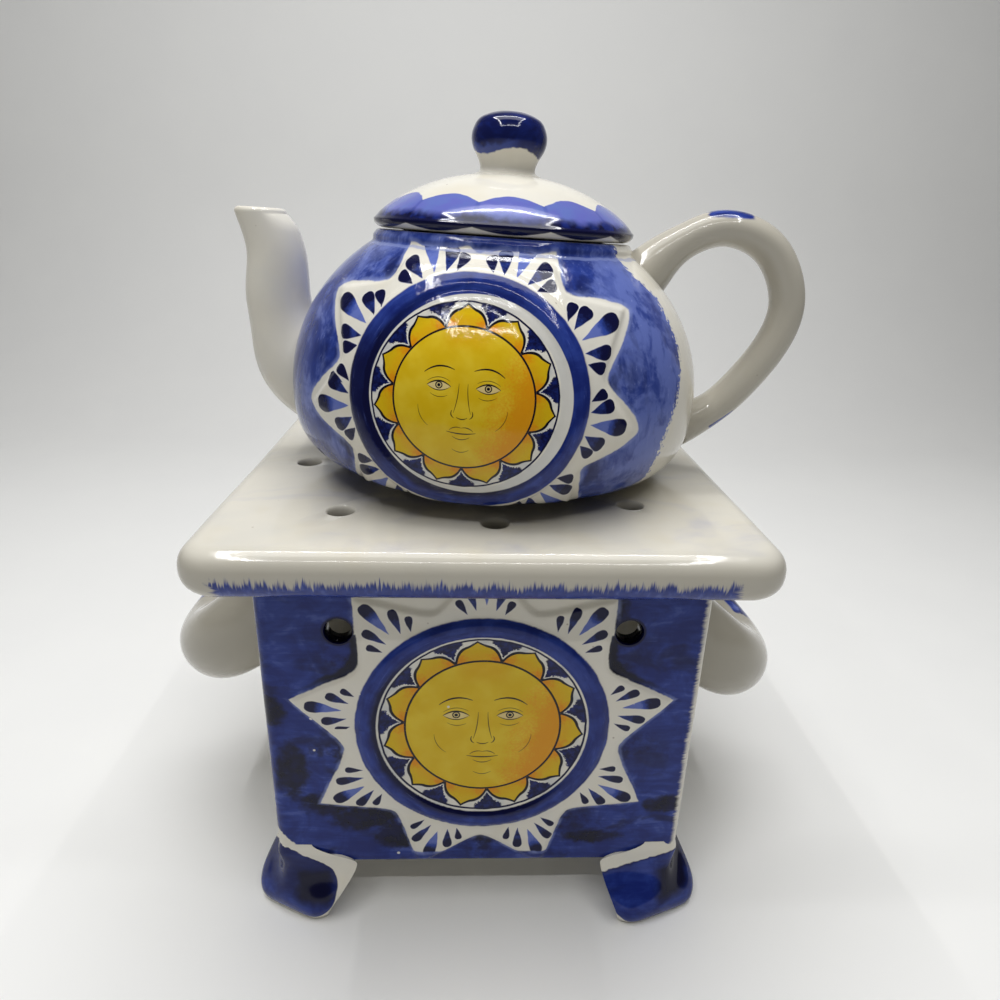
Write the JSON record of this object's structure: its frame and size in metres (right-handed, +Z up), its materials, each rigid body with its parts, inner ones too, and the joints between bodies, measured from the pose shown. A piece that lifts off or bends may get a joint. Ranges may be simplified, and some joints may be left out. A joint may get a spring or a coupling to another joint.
{
  "type": "teapot with warmer",
  "caption": "Glazed earthenware teapot with a loose lid, on a square footed warmer with a pierced slab, loop side handles and a tealight that goes in through an arch at the back.",
  "frame": {"origin": "on the floor, under the middle of the whole", "axes": "+Z up, the painted front towards -Y, the spout towards -X and the pot's handle towards +X"},
  "size_m": [0.2086, 0.15, 0.2301],
  "materials": {
    "white_glaze": "gloss",
    "blue_glaze": "gloss, hand painted",
    "foil": "drawn foil",
    "wax": "satin",
    "cotton": "braided"
  },
  "bodies": {
    "warmer": {"warmer_box": "blue_glaze", "warmer_top": "white_glaze", "foot_front_left": "blue_glaze", "foot_front_right": "blue_glaze", "foot_back_left": "blue_glaze", "foot_back_right": "blue_glaze", "side_handle_left": "white_glaze", "side_handle_right": "white_glaze"},
    "teapot": {"teapot_body_front": "blue_glaze", "teapot_body_back": "blue_glaze", "teapot_spout": "white_glaze", "teapot_handle": "white_glaze"},
    "lid": {"lid": "blue_glaze", "lid_knob": "blue_glaze"},
    "tealight": {"tealight_cup": "foil", "tealight_wax": "wax", "tealight_wick": "cotton", "tealight_wick_tab": "foil"}
  },
  "joints": [
    {"name": "teapot_lift", "type": "slide", "parent": "warmer", "child": "teapot", "axis": [0, 0, 1], "range_m": [0, 0.06]},
    {"name": "lid_lift", "type": "slide", "parent": "teapot", "child": "lid", "axis": [0.0349, 0, 0.9994], "range_m": [0, 0.045]},
    {"name": "tealight_slide", "type": "slide", "parent": "warmer", "child": "tealight", "axis": [0, 1, 0], "range_m": [0, 0.09]}
  ]
}
